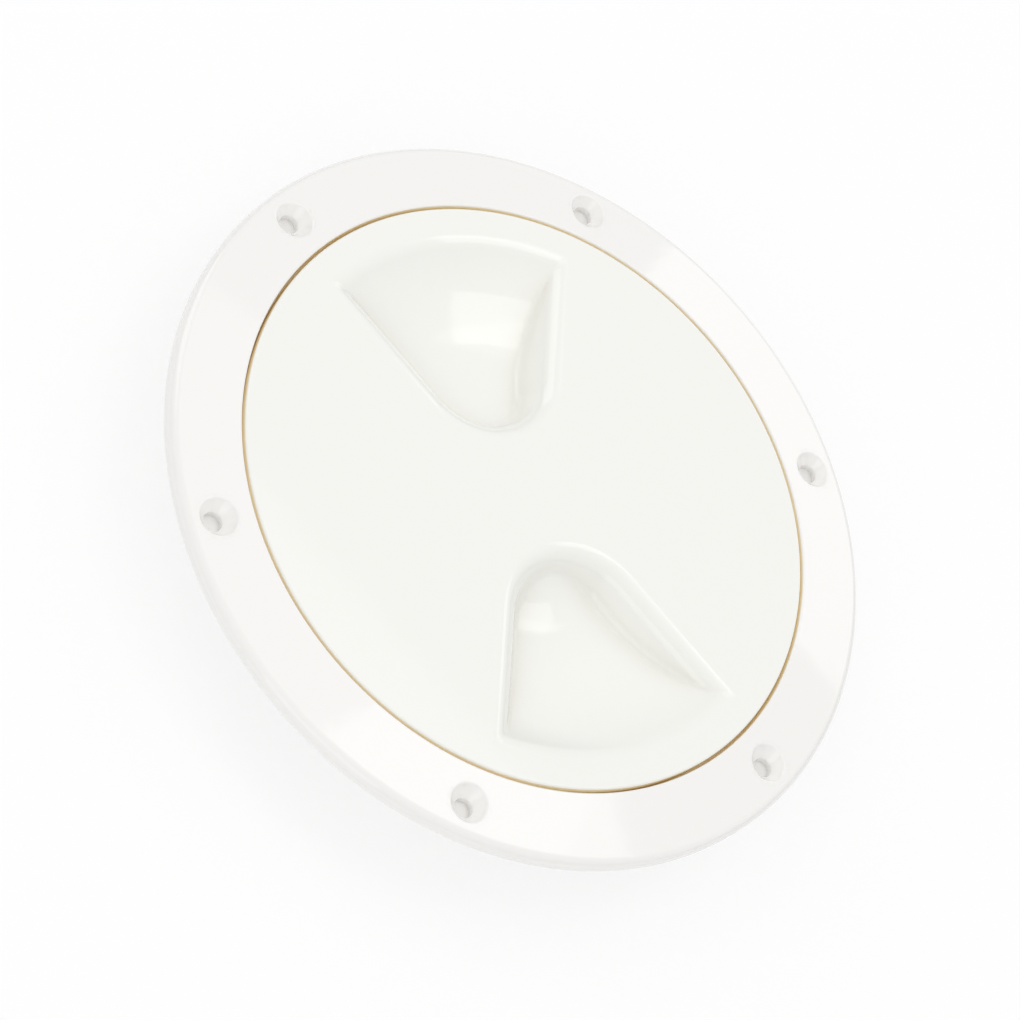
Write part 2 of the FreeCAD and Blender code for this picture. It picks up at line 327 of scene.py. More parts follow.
@dataclass(frozen=True)
class FingerWell:
    """Fan-shaped scoop with its narrow end towards the lid's centre, drawn along the X axis."""

    lip_end: float = 75.7 * MM
    half_angle: float = math.radians(26)
    side_offset: float = 3.3 * MM
    nose_radius: float = 20.0 * MM
    depth: float = 9.6 * MM
    wall_draft: float = math.radians(27.9)
    nose_scoop_radius: float = 38.0 * MM
    scoop_radius: float = 69.0 * MM
    lip_rounding: float = 10.0 * MM
    edge_rounding: float = 6.0 * MM
    crease_at_nose: float = 2.2 * MM
    crease_at_tip: float = 0.5 * MM
    skin: float = 2.6 * MM
    root_fillet: float = 0.8 * MM
    nose_steps: int = 72
    side_steps: int = 63
    middle_steps: int = 24
    side_gathering: float = 1.25

    @property
    def tip(self) -> float:
        """Place on the axis where the two sides would meet."""
        return -self.side_offset / math.sin(self.half_angle)

    @property
    def nose_centre(self) -> float:
        """Place on the axis of the centre of the nose's arc."""
        return self.tip + self.nose_radius / math.sin(self.half_angle)

    @property
    def steepest(self) -> float:
        """Slope at which the scoop turns over into the lip's rounding."""
        return math.acos(1 - self.depth / (self.scoop_radius + self.lip_rounding))

    @property
    def foot(self) -> float:
        """Radius at which the floor is deepest, between the nose's curve and the lip's."""
        return self.lip_end - (self.scoop_radius + self.lip_rounding) * math.sin(self.steepest)

    def inset(self, x: Array, y: Array) -> Array:
        """Distance from the outline of the well, above zero inside it.

        Args:
            x: Distances along the well's axis.
            y: Distances to the side of it.

        Returns:
            The distances to the nearer side or to the nose.
        """
        beside = np.abs(y)
        from_centre = x - self.nose_centre
        along = from_centre * math.cos(self.half_angle) + beside * math.sin(self.half_angle)
        to_side = (x - self.tip) * math.sin(self.half_angle) - beside * math.cos(self.half_angle)
        to_nose = self.nose_radius - np.hypot(from_centre, beside)
        return np.where(along < 0, to_nose, to_side)

    def soft_minimum(self, a: Array, b: Array, width: Array) -> Array:
        """Smaller of two depths, rounded off over a width."""
        safe = np.maximum(width, MERGE_DISTANCE)
        near = np.clip(1 - np.abs(a - b) / safe, 0, 1)
        return np.minimum(a, b) - near * near * safe / 4

    def scoop_depth(self, radius: Array, outwards: float) -> Array:
        """Depth of the scooped floor, or of the surface that lies outwards of it.

        Args:
            radius: Distances from the lid's axis.
            outwards: Distance of the surface from the floor.

        Returns:
            The depths below the lid's top.
        """
        past = radius - self.foot
        curve = np.where(past < 0, self.nose_scoop_radius, self.scoop_radius)
        outer = curve + outwards
        climb = np.minimum(np.abs(past), 0.9 * outer)
        return self.depth - curve + np.sqrt(outer**2 - climb**2)

    def space_depth(self, x: Array, y: Array) -> Array:
        """Depth of the well's surface below the lid's top.

        Args:
            x: Distances along the well's axis.
            y: Distances to the side of it.

        Returns:
            The depths, zero outside the well.
        """
        slope = math.pi / 2 - self.wall_draft
        start = self.edge_rounding * math.tan(slope / 2)
        past = np.clip(self.inset(x, y) + start, 0, None)
        bent = np.minimum(past, self.edge_rounding * math.sin(slope))
        wall = self.edge_rounding - np.sqrt(self.edge_rounding**2 - bent**2)
        wall = wall + (past - bent) * math.tan(slope)
        radius = np.hypot(x, y)
        scoop = self.scoop_depth(radius, 0.0)
        lip_start = self.lip_end - self.lip_rounding * math.sin(self.steepest)
        inward = np.clip(self.lip_end - radius, 0, self.lip_end - lip_start)
        lip = self.lip_rounding - np.sqrt(self.lip_rounding**2 - inward**2)
        floor = np.where(radius > lip_start, lip, scoop)
        fade = floor / self.depth
        crease = self.crease_at_tip + (self.crease_at_nose - self.crease_at_tip) * fade
        crease = np.minimum(crease, 2 * np.minimum(wall, floor))
        return self.soft_minimum(wall, floor, crease)

    def body_depth(self, x: Array, y: Array, lid_skin: float) -> Array:
        """Depth of the underside round the well below the lid's top.

        Args:
            x: Distances along the well's axis.
            y: Distances to the side of it.
            lid_skin: Thickness of the lid beside the well.

        Returns:
            The depths, the lid's thickness away from the well.
        """
        outwards = self.skin / math.cos(self.wall_draft)
        wall = (self.inset(x, y) + outwards) / math.tan(self.wall_draft)
        floor = self.scoop_depth(np.hypot(x, y), self.skin)
        body = self.soft_minimum(wall, floor, np.full_like(wall, self.crease_at_nose))
        plate = np.full_like(body, -lid_skin)
        return -self.soft_minimum(-body, plate, np.full_like(body, self.root_fillet))

    def blocks(self, insets: Array, end_radius: float) -> tuple[list[Array], Array]:
        """Grids of (x, y) points that follow the outline of the well.

        Args:
            insets: Growing distances from the outline, the last one at the nose's centre.
            end_radius: Radius of the arc on which the grids end.

        Returns:
            The grids, and the loop round them all without a repeated point.
        """
        half = self.half_angle
        centre = np.array([self.nose_centre, 0.0])
        nose_angles = np.linspace(math.pi / 2 + half, 3 * math.pi / 2 - half, self.nose_steps + 1)
        reach = self.nose_radius - insets
        nose = centre + np.stack([
            reach[:, None] * np.cos(nose_angles), reach[:, None] * np.sin(nose_angles),
        ], axis=-1)
        shares = 1 - (1 - np.linspace(0, 1, self.side_steps + 1)) ** self.side_gathering
        sides: dict[int, Array] = {}
        for side in (1, -1):
            along = np.array([math.cos(half), side * math.sin(half)])
            outwards = np.array([-math.sin(half), side * math.cos(half)])
            starts = centre + reach[:, None] * outwards
            ahead = starts @ along
            beyond = end_radius**2 - (starts**2).sum(axis=1)
            lengths = -ahead + np.sqrt(ahead**2 + beyond)
            sides[side] = starts[:, None] + (lengths[:, None] * shares)[..., None] * along
        spread = np.linspace(-half, half, self.middle_steps + 1)
        rays = np.stack([np.cos(spread), np.sin(spread)], axis=-1)
        ahead = rays @ centre
        lengths = -ahead + np.sqrt(ahead**2 + end_radius**2 - centre @ centre)
        middle = centre + (lengths[:, None] * shares)[..., None] * rays[:, None]
        loop = np.vstack([
            nose[0, :-1],
            sides[-1][0, :-1],
            sides[-1][:-1, -1],
            middle[:-1, -1],
            sides[1][::-1, -1][:-1],
            sides[1][0, ::-1][:-1],
        ])
        return [nose, sides[1], sides[-1], middle], loop


@dataclass
class ScrewLid:
    """Flat lid with a rim, neck, skirt, external thread and two finger wells."""

    well: FingerWell = field(default_factory=FingerWell)
    well_angles: tuple[float, float] = (math.radians(153.4), math.radians(333.4))
    skin: float = 2.8 * MM
    edge_rounding: float = 0.6 * MM
    neck_radius: float = 79.05 * MM
    neck_bottom: float = -1.4 * MM
    skirt_top: float = -2.3 * MM
    skirt_radius: float = 77.5 * MM
    skirt_wall: float = 2.6 * MM
    end_rounding: float = 0.8 * MM
    thread_height: float = 1.7 * MM
    thread_start: float = -14.554 * MM
    thread_angle: float = math.radians(220)
    flat_margin: float = 0.5 * MM
    under_margin: float = 0.02 * MM

    def __post_init__(self) -> None:
        """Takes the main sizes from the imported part."""
        low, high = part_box("screw_lid")
        self.radius = high.x
        self.top = high.z
        self.bottom = low.z
        self.underside = self.top - self.skin

    def well_surface(
        self, skin: Skin, angle: float, depth: Callable[[Array, Array], Array],
        insets: Array, end_radius: float, upwards: float,
    ) -> Array:
        """Adds one surface of a well.

        Args:
            skin: Mesh that takes the surface.
            angle: Angle of the well's axis.
            depth: Depth below the lid's top over (x, y).
            insets: Distances from the outline at which points lie.
            end_radius: Radius of the arc on which the surface ends.
            upwards: 1 where the surface looks up, -1 where it looks down.

        Returns:
            The loop round the surface.
        """
        blocks, loop = self.well.blocks(insets, end_radius)
        step = 0.01 * MM
        for block in blocks:
            x, y = block[..., 0], block[..., 1]
            slope_x = (depth(x + step, y) - depth(x - step, y)) / (2 * step)
            slope_y = (depth(x, y + step) - depth(x, y - step)) / (2 * step)
            points = np.stack([x, y, self.top - depth(x, y)], axis=-1)
            normals = unit(np.stack([slope_x, slope_y, np.ones_like(x)], axis=-1)) * upwards
            skin.add_grid(turned_about_z(points, angle), turned_about_z(normals, angle))
        return turned_about_z(loop, angle)

    def fill_flat(self, skin: Skin, loops: list[Array], height: float, upwards: float) -> None:
        """Fills the flat area between an outer circle and the loops round the wells.

        Args:
            skin: Mesh that takes the area.
            loops: The outer circle, then the loop of each well.
            height: Height of the area.
            upwards: 1 where the surface looks up, -1 where it looks down.
        """
        def keep(middles: Array) -> Array:
            inside = np.hypot(middles[:, 0], middles[:, 1]) < np.hypot(*loops[0][0])
            for loop in loops[1:]:
                inside &= ~inside_loop(middles, loop)
            return inside

        def lift(places: Array) -> tuple[Array, Array]:
            points = np.c_[places, np.full(len(places), height)]
            normals = np.tile([0.0, 0.0, upwards], (len(places), 1))
            return points, normals

        add_filled(skin, loops, keep, lift)

    def build(self) -> bpy.types.Object:
        """Makes the lid's mesh.

        Returns:
            The piece that stands for the node screw_lid.
        """
        skin = Skin()
        well = self.well
        flat_end = self.radius - 2 * self.edge_rounding
        loops = [self.ring_loop(flat_end)]
        for angle in self.well_angles:
            loops.append(self.well_surface(
                skin, angle, well.space_depth, TOP_ROWS * MM, well.lip_end + self.flat_margin, 1.0,
            ))
        self.fill_flat(skin, loops, self.top, 1.0)
        skirt_inside = self.skirt_radius - self.skirt_wall
        under_end = skirt_inside - self.skirt_wall / 2
        add_turned(skin, [
            (flat_end, self.top, 0),
            (self.radius, self.top, self.edge_rounding),
            (self.radius, self.underside, self.edge_rounding),
            (self.neck_radius, self.underside, 0),
            (self.neck_radius, self.neck_bottom, 0),
            (self.skirt_radius, self.skirt_top, 0),
            (self.skirt_radius, self.bottom, self.end_rounding),
            (skirt_inside, self.bottom, self.end_rounding),
            (skirt_inside, self.underside, self.skirt_wall / 2),
            (under_end, self.underside, 0),
        ], Side.OUTER)
        outwards = well.skin / math.cos(well.wall_draft)
        below = np.append(UNDER_ROWS * MM - outwards, well.nose_radius)
        under_loops = [self.ring_loop(under_end)]
        for angle in self.well_angles:
            under_loops.append(self.well_surface(
                skin, angle, lambda x, y: well.body_depth(x, y, self.skin),
                below, under_end - self.under_margin, -1.0,
            ))
        self.fill_flat(skin, under_loops, self.underside, -1.0)
        ScrewThread(
            self.skirt_radius, self.thread_height, self.thread_start, self.thread_angle
        ).add_to(skin)
        return skin.build("screw_lid_shell")

    def ring_loop(self, radius: float) -> Array:
        """Returns a circle of (x, y) rows with the spacing of the turned surfaces."""
        angles = circle()[:-1]
        return np.c_[radius * np.cos(angles), radius * np.sin(angles)]


def inside_loop(places: Array, loop: Array) -> Array:
    """Tells which places lie inside a closed loop.

    Args:
        places: Rows of (x, y).
        loop: Rows of (x, y) of the loop, without a repeated point.

    Returns:
        One truth value for each place.
    """
    inside = np.zeros(len(places), bool)
    following = np.roll(loop, -1, axis=0)
    for (x0, y0), (x1, y1) in zip(loop, following):
        if y0 == y1:
            continue
        crosses = (places[:, 1] < y0) != (places[:, 1] < y1)
        at = x0 + (places[:, 1] - y0) * (x1 - x0) / (y1 - y0)
        inside ^= crosses & (places[:, 0] < at)
    return inside


@dataclass
class DeckRing:
    """Countersunk flange with its spigot, collar, sealing ledge and internal thread."""

    fall: float = math.tan(math.radians(4.5))
    mouth_radius: float = 83.15 * MM
    edge_rounding: float = 2.6 * MM
    mouth_rounding: float = 0.5 * MM
    foot_rounding: float = 0.4 * MM
    ledge_height: float = -0.5 * MM
    ledge_chamfer: float = 0.5 * MM
    bore_radius: float = 79.6 * MM
    collar_radius: float = 82.8 * MM
    spigot_radius: float = 85.8 * MM
    spigot_depth: float = 3.6 * MM
    end_rounding: float = 0.8 * MM
    hole_count: int = 6
    hole_circle: float = 93.35 * MM
    hole_radius: float = 2.6 * MM
    countersink_radius: float = 5.2 * MM
    countersink_half_angle: float = math.radians(40)
    hole_edge: float = 0.3 * MM
    hole_patch: float = 6.0 * MM
    hole_steps: int = 64
    patch_margin: float = 0.1 * MM
    seam_width: float = 1.0 * MM
    thread_height: float = -1.7 * MM
    thread_start: float = -14.9 * MM
    thread_angle: float = math.radians(40)

    def __post_init__(self) -> None:
        """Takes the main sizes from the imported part."""
        low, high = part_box("deck_ring")
        self.radius = high.x
        self.top = high.z
        self.bottom = low.z

    def face_height(self, radius: Array) -> Array:
        """Returns the height of the flange's top face at a radius."""
        return self.top - self.fall * (radius - self.mouth_radius)

    def face(self, places: Array) -> tuple[Array, Array]:
        """Lifts places onto the flange's top face.

        Args:
            places: Rows of (x, y), in any shape.

        Returns:
            Points of the face and their normals.
        """
        radius = np.hypot(places[..., 0], places[..., 1])
        points = np.concatenate([places, self.face_height(radius)[..., None]], axis=-1)
        normals = np.concatenate([
            self.fall * places / radius[..., None], np.ones_like(radius)[..., None],
        ], axis=-1)
        return points, unit(normals)

    def add_hole(self, skin: Skin, angle: float) -> Array:
        """Adds one countersunk screw hole with soft edges.

        Args:
            skin: Mesh that takes the hole.
            angle: Angle of the hole round the ring.

        Returns:
            The loop round the hole's patch of the flange.
        """
        around = circle(self.hole_steps)
        rays = np.stack([np.cos(around), np.sin(around)], axis=-1)
        centre = np.array([self.hole_circle, 0.0])
        widening = math.tan(self.countersink_half_angle)
        tilt = 1 + self.fall * widening * np.cos(around)
        edge = self.countersink_radius / tilt
        middle_height = float(self.face_height(np.array(self.hole_circle)))
        cone_normal = np.stack([
            -np.cos(around) * math.cos(self.countersink_half_angle),
            -np.sin(around) * math.cos(self.countersink_half_angle),
            np.full(len(around), math.sin(self.countersink_half_angle)),
        ], axis=-1)
        wall_normal = np.stack([-np.cos(around), -np.sin(around), 0 * around], axis=-1)

        def on_face(reach: Array) -> tuple[Array, Array]:
            return self.face(centre + reach[:, None] * rays)

        def on_cone(reach: Array) -> Array:
            height = middle_height + (reach - self.countersink_radius) / widening
            return np.concatenate([centre + reach[:, None] * rays, height[:, None]], axis=-1)

        def down(radius: float, height: float) -> Array:
            return np.concatenate([
                centre + radius * rays, np.full((len(around), 1), height),
            ], axis=-1)

        outer, outer_normal = on_face(np.full(len(around), self.hole_patch))
        face_edge, face_normal = on_face(edge + self.hole_edge)
        skin.add_grid(np.stack([outer, face_edge]), np.stack([outer_normal, face_normal]))
        corner, _ = on_face(edge)
        cone_edge = on_cone(edge - self.hole_edge)
        self.add_soft_edge(skin, (face_edge, corner, cone_edge), (face_normal, cone_normal))
        neck = np.full(len(around), self.hole_radius)
        cone_foot = on_cone(neck + self.hole_edge / 2)
        skin.add_grid(np.stack([cone_edge, cone_foot]), np.stack([cone_normal, cone_normal]))
        bore_top = down(self.hole_radius, float(on_cone(neck)[0, 2]) - self.hole_edge / 2)
        self.add_soft_edge(skin, (cone_foot, on_cone(neck), bore_top), (cone_normal, wall_normal))
        bore_end = down(self.hole_radius, 0.0)
        skin.add_grid(np.stack([bore_top, bore_end]), np.stack([wall_normal, wall_normal]))
        return turned_about_z(centre + self.hole_patch * rays[:-1], angle)

    def add_soft_edge(
        self, skin: Skin, lines: tuple[Array, Array, Array], normals: tuple[Array, Array],
    ) -> None:
        """Rounds an edge between two surfaces.

        Args:
            skin: Mesh that takes the rounding.
            lines: Start of the rounding, the sharp edge, and the end of the rounding.
            normals: Normals of the two surfaces along the edge.
        """
        start, corner, end = lines
        shares = np.linspace(0, 1, 5)[:, None, None]
        points = (1 - shares) ** 2 * start + 2 * shares * (1 - shares) * corner + shares**2 * end
        blended = unit((1 - shares) * normals[0] + shares * normals[1])
        skin.add_grid(points, blended)

    def build(self) -> bpy.types.Object:
        """Makes the ring's mesh.

        Returns:
            The piece that stands for the node deck_ring.
        """
        skin = Skin()
        outer_corner = float(self.face_height(np.array(self.radius)))
        face_start = self.mouth_radius + 2 * self.mouth_rounding
        face_end = self.hole_circle + self.hole_patch + self.patch_margin
        heights = [float(self.face_height(np.array(radius))) for radius in (face_start, face_end)]
        hole_loops: list[Array] = []
        for number in range(self.hole_count):
            angle = number * 2 * math.pi / self.hole_count
            hole = Skin()
            hole_loops.append(self.add_hole(hole, angle))
            skin.add(
                turned_about_z(np.vstack(hole.points), angle),
                turned_about_z(np.vstack(hole.normals), angle),
                np.vstack(hole.triangles),
            )
        angles = circle()[:-1]
        circles = [
            np.c_[radius * np.cos(angles), radius * np.sin(angles)]
            for radius in (face_start, face_end)
        ]
        centres = [loop.mean(axis=0) for loop in hole_loops]

        def on_face(middles: Array) -> Array:
            # The sides of the loops lie a little inside their circles.
            radius = np.hypot(middles[:, 0], middles[:, 1])
            kept = (radius > face_start * 0.9999) & (radius < face_end)
            for centre in centres:
                kept &= np.hypot(*(middles - centre).T) > self.hole_patch * 0.99
            return kept

        add_filled(skin, circles + hole_loops, on_face, self.face)
        add_turned(skin, [
            (face_end, heights[1], 0),
            (self.radius, outer_corner, self.edge_rounding),
            (self.radius, 0, self.foot_rounding),
            (self.spigot_radius + self.seam_width, 0, 0),
        ], Side.OUTER, arc_steps=32)
        add_turned(skin, [
            (self.spigot_radius + self.seam_width, 0, 0),
            (self.spigot_radius, 0, 0),
            (self.spigot_radius, -self.spigot_depth, self.end_rounding),
            (self.collar_radius, -self.spigot_depth, 0),
            (self.collar_radius, self.bottom, self.end_rounding),
            (self.bore_radius, self.bottom, self.end_rounding),
            (self.bore_radius, self.ledge_height - self.ledge_chamfer, 0),
            (self.bore_radius + self.ledge_chamfer, self.ledge_height, 0),
            (self.mouth_radius, self.ledge_height, 0),
            (self.mouth_radius, self.top, self.mouth_rounding),
            (face_start, heights[0], 0),
        ], Side.OUTER)
        ScrewThread(
            self.bore_radius, self.thread_height, self.thread_start, self.thread_angle
        ).add_to(skin)
        return skin.build("deck_ring_shell")


# Finishes


class Value:
    """Socket of a shader node that takes part in sums written in Python."""

    def __init__(self, shader: "Shader", socket: bpy.types.NodeSocket) -> None:
        """Keeps the socket and the shader that it belongs to."""
        self.shader = shader
        self.socket = socket

    def maths(self, operation: str, *others: "Value | float") -> "Value":
        """Adds a Math node.

        Args:
            operation: Name of the node's operation.
            others: Further values of the sum.

        Returns:
            The node's result.
        """
        values = dict(enumerate((self, *others)))
        return self.shader.node("ShaderNodeMath", {"operation": operation}, values)

    def __add__(self, other: "Value | float") -> "Value":
        """Sum."""
        return self.maths("ADD", other)

    def __sub__(self, other: "Value | float") -> "Value":
        """Difference."""
        return self.maths("SUBTRACT", other)

    def __rsub__(self, other: float) -> "Value":
        """Difference from a number."""
        return (self * -1.0) + other

    def __mul__(self, other: "Value | float") -> "Value":
        """Product."""
        return self.maths("MULTIPLY", other)

    def between(self, low: float, high: float) -> "Value":
        """Share from 0 to 1 of the way from low to high, with soft ends."""
        return self.shader.node(
            "ShaderNodeMapRange",
            {"interpolation_type": "SMOOTHSTEP"},
            {"Value": self, "From Min": low, "From Max": high},
        )


class Shader:
    """Node tree of one material or of the world."""

    def __init__(self, owner: bpy.types.ID, output: str = "ShaderNodeOutputMaterial") -> None:
        """Empties the tree of a material or world.

        Args:
            owner: The material or world.
            output: Type of the tree's output.
        """
        owner.use_nodes = True
        self.owner = owner
        self.tree = owner.node_tree
        self.tree.nodes.clear()
        self.output = self.tree.nodes.new(output)

    def node(
        self, kind: str, settings: dict[str, object], values: dict[int | str, object],
        result: int | str = 0,
    ) -> Value:
        """Adds a node.

        Args:
            kind: Type of the node.
            settings: Its settings, which are set first.
            values: Values or links of its sockets, by name or number.
            result: Name or number of the socket that is returned.

        Returns:
            The result socket.
        """
        made = self.tree.nodes.new(kind)
        for name, value in settings.items():
            setattr(made, name, value)
        for key, value in values.items():
            if isinstance(value, Value):
                self.tree.links.new(value.socket, made.inputs[key])
            else:
                made.inputs[key].default_value = value
        return Value(self, made.outputs[result])

    def split(self, place: Value) -> list[Value]:
        """Returns the three coordinates of a place."""
        first = self.node("ShaderNodeSeparateXYZ", {}, {0: place})
        return [Value(self, output) for output in first.socket.node.outputs]

    def noise(self, place: Value, scale: float, detail: float) -> Value:
        """Soft noise from about 0.3 to 0.7.

        Args:
            place: Place in the piece's own coordinates.
            scale: Number of waves in a metre.
            detail: How many finer layers are added.

        Returns:
            The height of the noise.
        """
        values = {"Vector": place, "Scale": scale, "Detail": detail}
        return self.node("ShaderNodeTexNoise", {}, values, "Fac")

    def bumped(self, height: Value, strength: float, depth: float) -> Value:
        """Normal of a surface with fine relief.

        Args:
            height: Height of the relief, from 0 to 1.
            strength: Share of the relief that is used.
            depth: Depth of the relief in metres.

        Returns:
            The normal.
        """
        values = {"Strength": strength, "Distance": depth, "Height": height}
        return self.node("ShaderNodeBump", {}, values, "Normal")

    def mixed_colour(self, share: Value, low: object, high: object) -> Value:
        """Colour between two colours.

        Args:
            share: 0 for the first colour, 1 for the second.
            low: Colour or link at 0.
            high: Colour or link at 1.

        Returns:
            The mixed colour.
        """
        # The node's colours are its sockets 6 and 7, and the mixed colour is its result 2.
        return self.node(
            "ShaderNodeMix", {"data_type": "RGBA"}, {"Factor": share, 6: low, 7: high}, 2
        )

    def finish(self, surface: Value) -> bpy.types.ID:
        """Links the surface to the output and returns the material or world."""
        self.tree.links.new(surface.socket, self.output.inputs["Surface"])
        return self.owner


def rgb(red: float, green: float, blue: float) -> tuple[float, float, float, float]:
    """Returns a linear colour with its alpha."""
    return (red, green, blue, 1.0)


@dataclass(frozen=True)
class PolishedPlastic:
    """Gloss white moulded plastic with a faint ripple, with painted warm shade down the gap and in the
    creases, and a faint painted warm glow in the gap.
    """

    name: str
    colour: tuple[float, float, float, float]
    # Painted shade: a warmer, darker colour down the gap between lid and ring.
    gap_shade_colour: tuple[float, float, float, float]
    gap_radii: tuple[float, float, float, float]
    gap_top: float
    # Painted shade: a warmer, darker colour in the creases of the finger wells.
    crease_shade_colour: tuple[float, float, float, float]
    gap_bottom: float = -1.0 * MM
    gap_top_fade: float = 1.2 * MM
    gap_bottom_fade: float = 0.2 * MM
    # Painted bounce light: a faint warm glow down the gap.
    painted_gap_glow: tuple[float, float, float, float] = rgb(0.075, 0.052, 0.024)
    crease_shade_reach: float = 9.0 * MM
    crease_shade_openness: tuple[float, float] = (0.55, 0.93)
    cloud_scale: float = 30.0
    cloud_depth: float = 0.03
    cloud_darkness: float = 0.97
    roughness: float = 0.05
    speckle_scale: float = 90.0
    speckle_depth: float = 0.03
    ripple: float = 0.01 * MM
    ripple_scale: float = 260.0

    def make(self) -> bpy.types.Material:
        """Makes the material.

        Returns:
            The material, with its painted gap shade placed by the piece's own coordinates and its painted
            crease shade found by ambient occlusion.
        """
        shader = Shader(bpy.data.materials.new(self.name))
        place = shader.node("ShaderNodeTexCoord", {}, {}, "Object")
        across, along, height = shader.split(place)
        radius = (across * across + along * along).maths("SQRT")
        inner_start, inner_end, outer_start, outer_end = self.gap_radii
        # Painted shade: the gap walls between these radii and heights take the warmer, darker gap colour.
        painted_gap_shade_share = (
            radius.between(inner_start, inner_end)
            * (1 - radius.between(outer_start, outer_end))
            * (1 - height.between(self.gap_top - self.gap_top_fade, self.gap_top))
            * height.between(self.gap_bottom - self.gap_bottom_fade, self.gap_bottom)
        )
        shade = (shader.noise(place, self.cloud_scale, 3.0) - 0.5) * self.cloud_depth
        darker = rgb(*(channel * self.cloud_darkness for channel in self.colour[:3]))
        body = shader.mixed_colour(shade + 0.2, self.colour, darker)
        # Painted shade: where ambient occlusion finds the surface closed in, the colour turns to the
        # darker crease colour.
        openness = shader.node(
            "ShaderNodeAmbientOcclusion", {"samples": 6, "only_local": True},
            {"Distance": self.crease_shade_reach}, "AO",
        )
        crease_shade = 1 - openness.between(*self.crease_shade_openness)
        crease_shaded = shader.mixed_colour(crease_shade, body, self.crease_shade_colour)
        colour = shader.mixed_colour(painted_gap_shade_share, crease_shaded, self.gap_shade_colour)
        # Painted bounce light: a faint warm glow in the gap.
        glow = shader.mixed_colour(painted_gap_shade_share, rgb(0, 0, 0), self.painted_gap_glow)
        speckle = shader.noise(place, self.speckle_scale, 4.0) - 0.5
        roughness = speckle * self.speckle_depth + self.roughness
        bump = shader.bumped(shader.noise(place, self.ripple_scale, 1.0), 1.0, self.ripple)
        surface = shader.node("ShaderNodeBsdfPrincipled", {}, {
            "Base Color": colour,
            "Roughness": roughness,
            "Normal": bump,
            "IOR": 1.52,
            "Emission Color": glow,
            "Emission Strength": 1.0,
        })
        return shader.finish(surface)


@dataclass(frozen=True)
class SealRubber:
    """Smooth cream rubber cord with a fine, matt skin."""

    name: str = "seal_rubber_finish"
    colour: tuple[float, float, float, float] = rgb(0.66, 0.54, 0.36)
    worn_colour: tuple[float, float, float, float] = rgb(0.72, 0.61, 0.44)
    bloom_scale: float = 160.0
    grain_scale: float = 1500.0
    grain_depth: float = 0.03 * MM

    def make(self) -> bpy.types.Material:
        """Makes the material.

        Returns:
            The material.
        """
        shader = Shader(bpy.data.materials.new(self.name))
        place = shader.node("ShaderNodeTexCoord", {}, {}, "Object")
        bloom = shader.noise(place, self.bloom_scale, 5.0)
        colour = shader.mixed_colour(bloom.between(0.45, 0.75), self.colour, self.worn_colour)
        bump = shader.bumped(shader.noise(place, self.grain_scale, 2.0), 0.4, self.grain_depth)
        surface = shader.node("ShaderNodeBsdfPrincipled", {}, {
            "Base Color": colour,
            "Roughness": bloom * 0.2 + 0.42,
            "Normal": bump,
        })
        return shader.finish(surface)


# Studio


@dataclass(frozen=True)
class Softbox:
    """Rectangular light that looks at the plate from a direction."""

    name: str
    azimuth: float
    elevation: float
    distance: float
    width: float
    height: float
    power: float

    def build(self) -> bpy.types.Object:
        """Makes the light.

        Returns:
            The light's object.
        """
        light = bpy.data.lights.new(self.name, "AREA")
        light.shape = "RECTANGLE"
        light.size = self.width
        light.size_y = self.height
        light.energy = self.power
        lamp = bpy.data.objects.new(self.name, light)
        azimuth, elevation = math.radians(self.azimuth), math.radians(self.elevation)
        towards = Vector((
            math.cos(azimuth) * math.cos(elevation),
            math.sin(azimuth) * math.cos(elevation),
            math.sin(elevation),
        ))
        lamp.location = towards * self.distance
        lamp.rotation_euler = towards.to_track_quat("Z", "Y").to_euler()
        bpy.context.scene.collection.objects.link(lamp)
        return lamp


